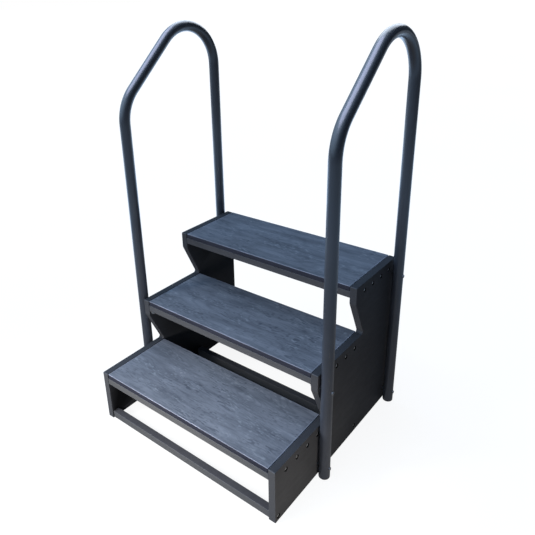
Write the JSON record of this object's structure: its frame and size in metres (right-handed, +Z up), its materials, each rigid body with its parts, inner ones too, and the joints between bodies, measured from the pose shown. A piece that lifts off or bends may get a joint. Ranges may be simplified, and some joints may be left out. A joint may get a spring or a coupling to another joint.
{
  "type": "mounting block",
  "caption": "Portable mounting block: stepped side panels carry plank treads with open risers, and a bent tube handrail bolts to the outside of each panel.",
  "frame": {"origin": "the middle of the footprint, on the floor", "axes": "+X to the right of a person facing the steps, +Y from the bottom step back to the top step, +Z up"},
  "size_m": [0.8708, 0.738, 1.3947],
  "materials": {
    "panel_board": "dark charcoal board, fine satin grain",
    "tread_board": "slate board embossed with a non-slip wood grain",
    "batten_board": "dark grey board, fine satin grain",
    "tube_paint": "dark slate powder coat, half gloss",
    "plug_plastic": "moulded black plastic",
    "fastener_steel": "zinc-plated steel"
  },
  "bodies": {
    "root": {"end_cleat_1_left": "batten_board", "end_cleat_1_right": "batten_board", "end_cleat_2_left": "batten_board", "end_cleat_2_right": "batten_board", "end_cleat_3_left": "batten_board", "end_cleat_3_right": "batten_board", "foot_plug_left_front": "plug_plastic", "foot_plug_left_rear": "plug_plastic", "foot_plug_right_front": "plug_plastic", "foot_plug_right_rear": "plug_plastic", "front_apron_1": "batten_board", "front_apron_2": "batten_board", "front_apron_3": "batten_board", "front_rail": "batten_board", "handrail_bolt_left_front_lower": "fastener_steel", "handrail_bolt_left_front_upper": "fastener_steel", "handrail_bolt_left_rear_lower": "fastener_steel", "handrail_bolt_left_rear_upper": "fastener_steel", "handrail_bolt_right_front_lower": "fastener_steel", "handrail_bolt_right_front_upper": "fastener_steel", "handrail_bolt_right_rear_lower": "fastener_steel", "handrail_bolt_right_rear_upper": "fastener_steel", "handrail_left": "tube_paint", "handrail_right": "tube_paint", "middle_rail": "batten_board", "nut_left_front_lower": "fastener_steel", "nut_left_front_upper": "fastener_steel", "nut_left_rear_lower": "fastener_steel", "nut_left_rear_upper": "fastener_steel", "nut_right_front_lower": "fastener_steel", "nut_right_front_upper": "fastener_steel", "nut_right_rear_lower": "fastener_steel", "nut_right_rear_upper": "fastener_steel", "rear_batten_1": "batten_board", "rear_batten_2": "batten_board", "rear_batten_3": "batten_board", "side_panel_left": "panel_board", "side_panel_right": "panel_board", "spacer_left_front_lower": "plug_plastic", "spacer_left_front_upper": "plug_plastic", "spacer_left_rear_lower": "plug_plastic", "spacer_left_rear_upper": "plug_plastic", "spacer_right_front_lower": "plug_plastic", "spacer_right_front_upper": "plug_plastic", "spacer_right_rear_lower": "plug_plastic", "spacer_right_rear_upper": "plug_plastic", "tread_board_1": "tread_board", "tread_board_2": "tread_board", "tread_board_3": "tread_board", "washer_left_front_lower": "fastener_steel", "washer_left_front_upper": "fastener_steel", "washer_left_rear_lower": "fastener_steel", "washer_left_rear_upper": "fastener_steel", "washer_right_front_lower": "fastener_steel", "washer_right_front_upper": "fastener_steel", "washer_right_rear_lower": "fastener_steel", "washer_right_rear_upper": "fastener_steel"}
  },
  "joints": []
}
